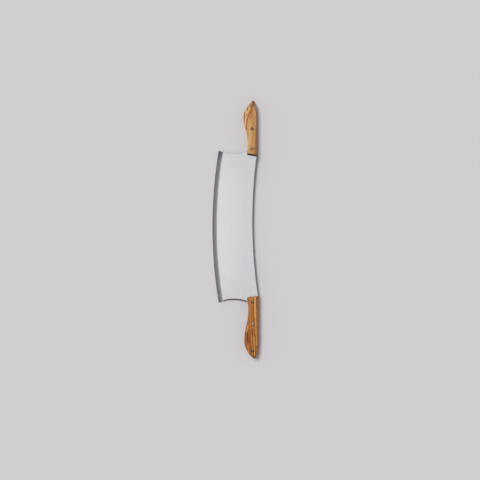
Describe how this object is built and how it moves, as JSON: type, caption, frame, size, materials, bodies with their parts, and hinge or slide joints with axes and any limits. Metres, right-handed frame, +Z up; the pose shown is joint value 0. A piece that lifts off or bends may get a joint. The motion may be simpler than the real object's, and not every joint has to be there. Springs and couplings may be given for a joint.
{
  "type": "rocker pizza cutter",
  "caption": "Two-handled rocker pizza cutter: a curved steel blade with a riveted wooden handle at each end, lying flat on a worktop.",
  "frame": {"origin": "middle of the bounding box on the worktop that the cutter lies on", "axes": "+Y along the blade towards the shorter handle, +X from the cutting edge towards the spine, +Z up"},
  "size_m": [0.093, 0.5106, 0.0231],
  "materials": {
    "blade_steel": "satin stainless steel, with a darker ground band along the cutting edge",
    "short_handle_wood": "oiled golden wood with fine lengthwise grain",
    "long_handle_wood": "oiled orange-brown wood with darker lengthwise stripes",
    "rivet_steel": "polished steel"
  },
  "bodies": {
    "root": {"blade": "blade_steel", "short_handle_front_scale": "short_handle_wood", "short_handle_back_scale": "short_handle_wood", "long_handle_front_scale": "long_handle_wood", "long_handle_back_scale": "long_handle_wood", "short_handle_neck_rivet_male": "rivet_steel", "short_handle_neck_rivet_female": "rivet_steel", "short_handle_middle_rivet_male": "rivet_steel", "short_handle_middle_rivet_female": "rivet_steel", "short_handle_tip_rivet_male": "rivet_steel", "short_handle_tip_rivet_female": "rivet_steel", "long_handle_neck_rivet_male": "rivet_steel", "long_handle_neck_rivet_female": "rivet_steel", "long_handle_middle_rivet_male": "rivet_steel", "long_handle_middle_rivet_female": "rivet_steel", "long_handle_tip_rivet_male": "rivet_steel", "long_handle_tip_rivet_female": "rivet_steel"}
  },
  "joints": []
}
